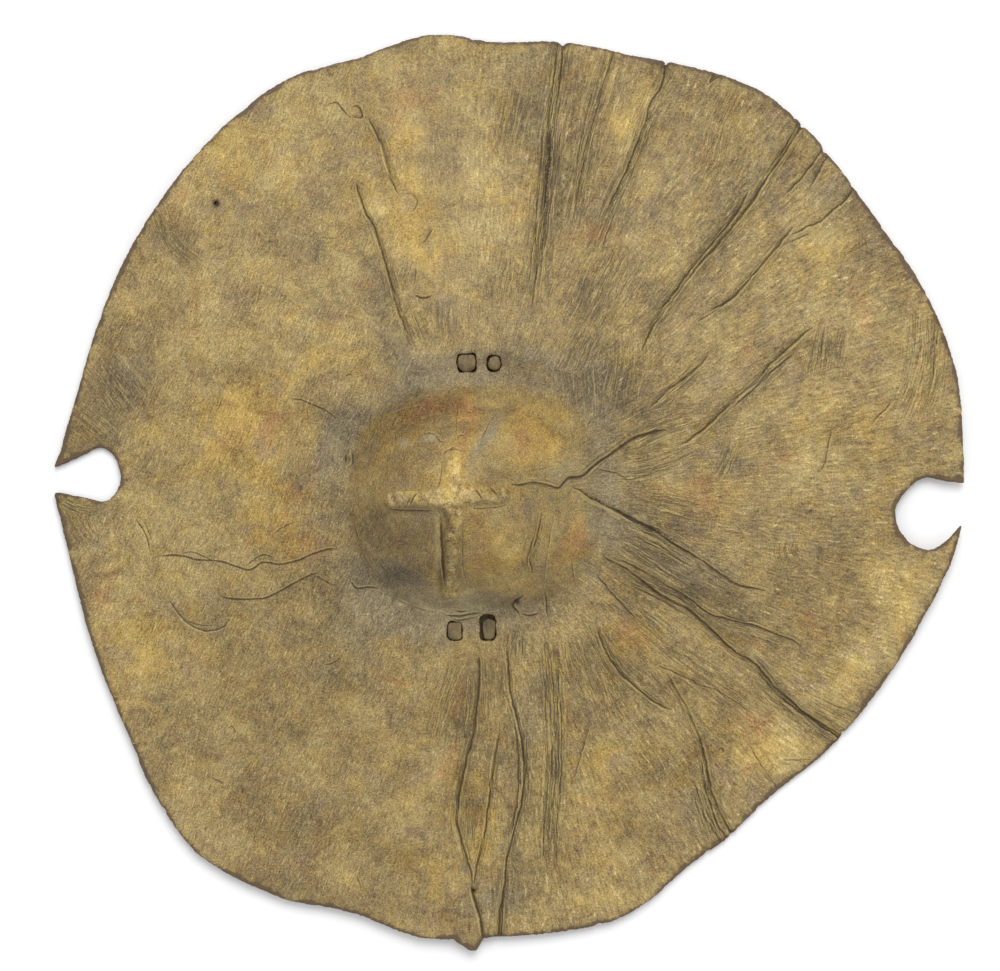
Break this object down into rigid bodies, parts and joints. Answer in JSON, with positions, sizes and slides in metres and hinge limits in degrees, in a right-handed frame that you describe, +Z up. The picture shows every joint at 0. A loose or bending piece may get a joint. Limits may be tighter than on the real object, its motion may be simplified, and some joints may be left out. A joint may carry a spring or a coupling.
{
  "type": "hide shield",
  "caption": "Round moulded hide shield with a wide notched brim, a hollow central boss bearing a raised cross, and a hide grip behind; it lies face up on its brim.",
  "frame": {"origin": "middle of the shield's outline, on the surface its brim rests on", "axes": "+Z up out of the face through the boss, +Y along the grip towards the pair of slots above the boss, +X to the right seen from the face, with a notch at each end of the X axis"},
  "size_m": [0.5601, 0.5636, 0.1061],
  "materials": {
    "hide": "worn, dry, lightly polished by handling",
    "grip_hide": "dark, dry, rubbed smooth in the middle"
  },
  "bodies": {
    "root": {"hide_body": "hide", "hide_grip": "grip_hide"}
  },
  "joints": []
}
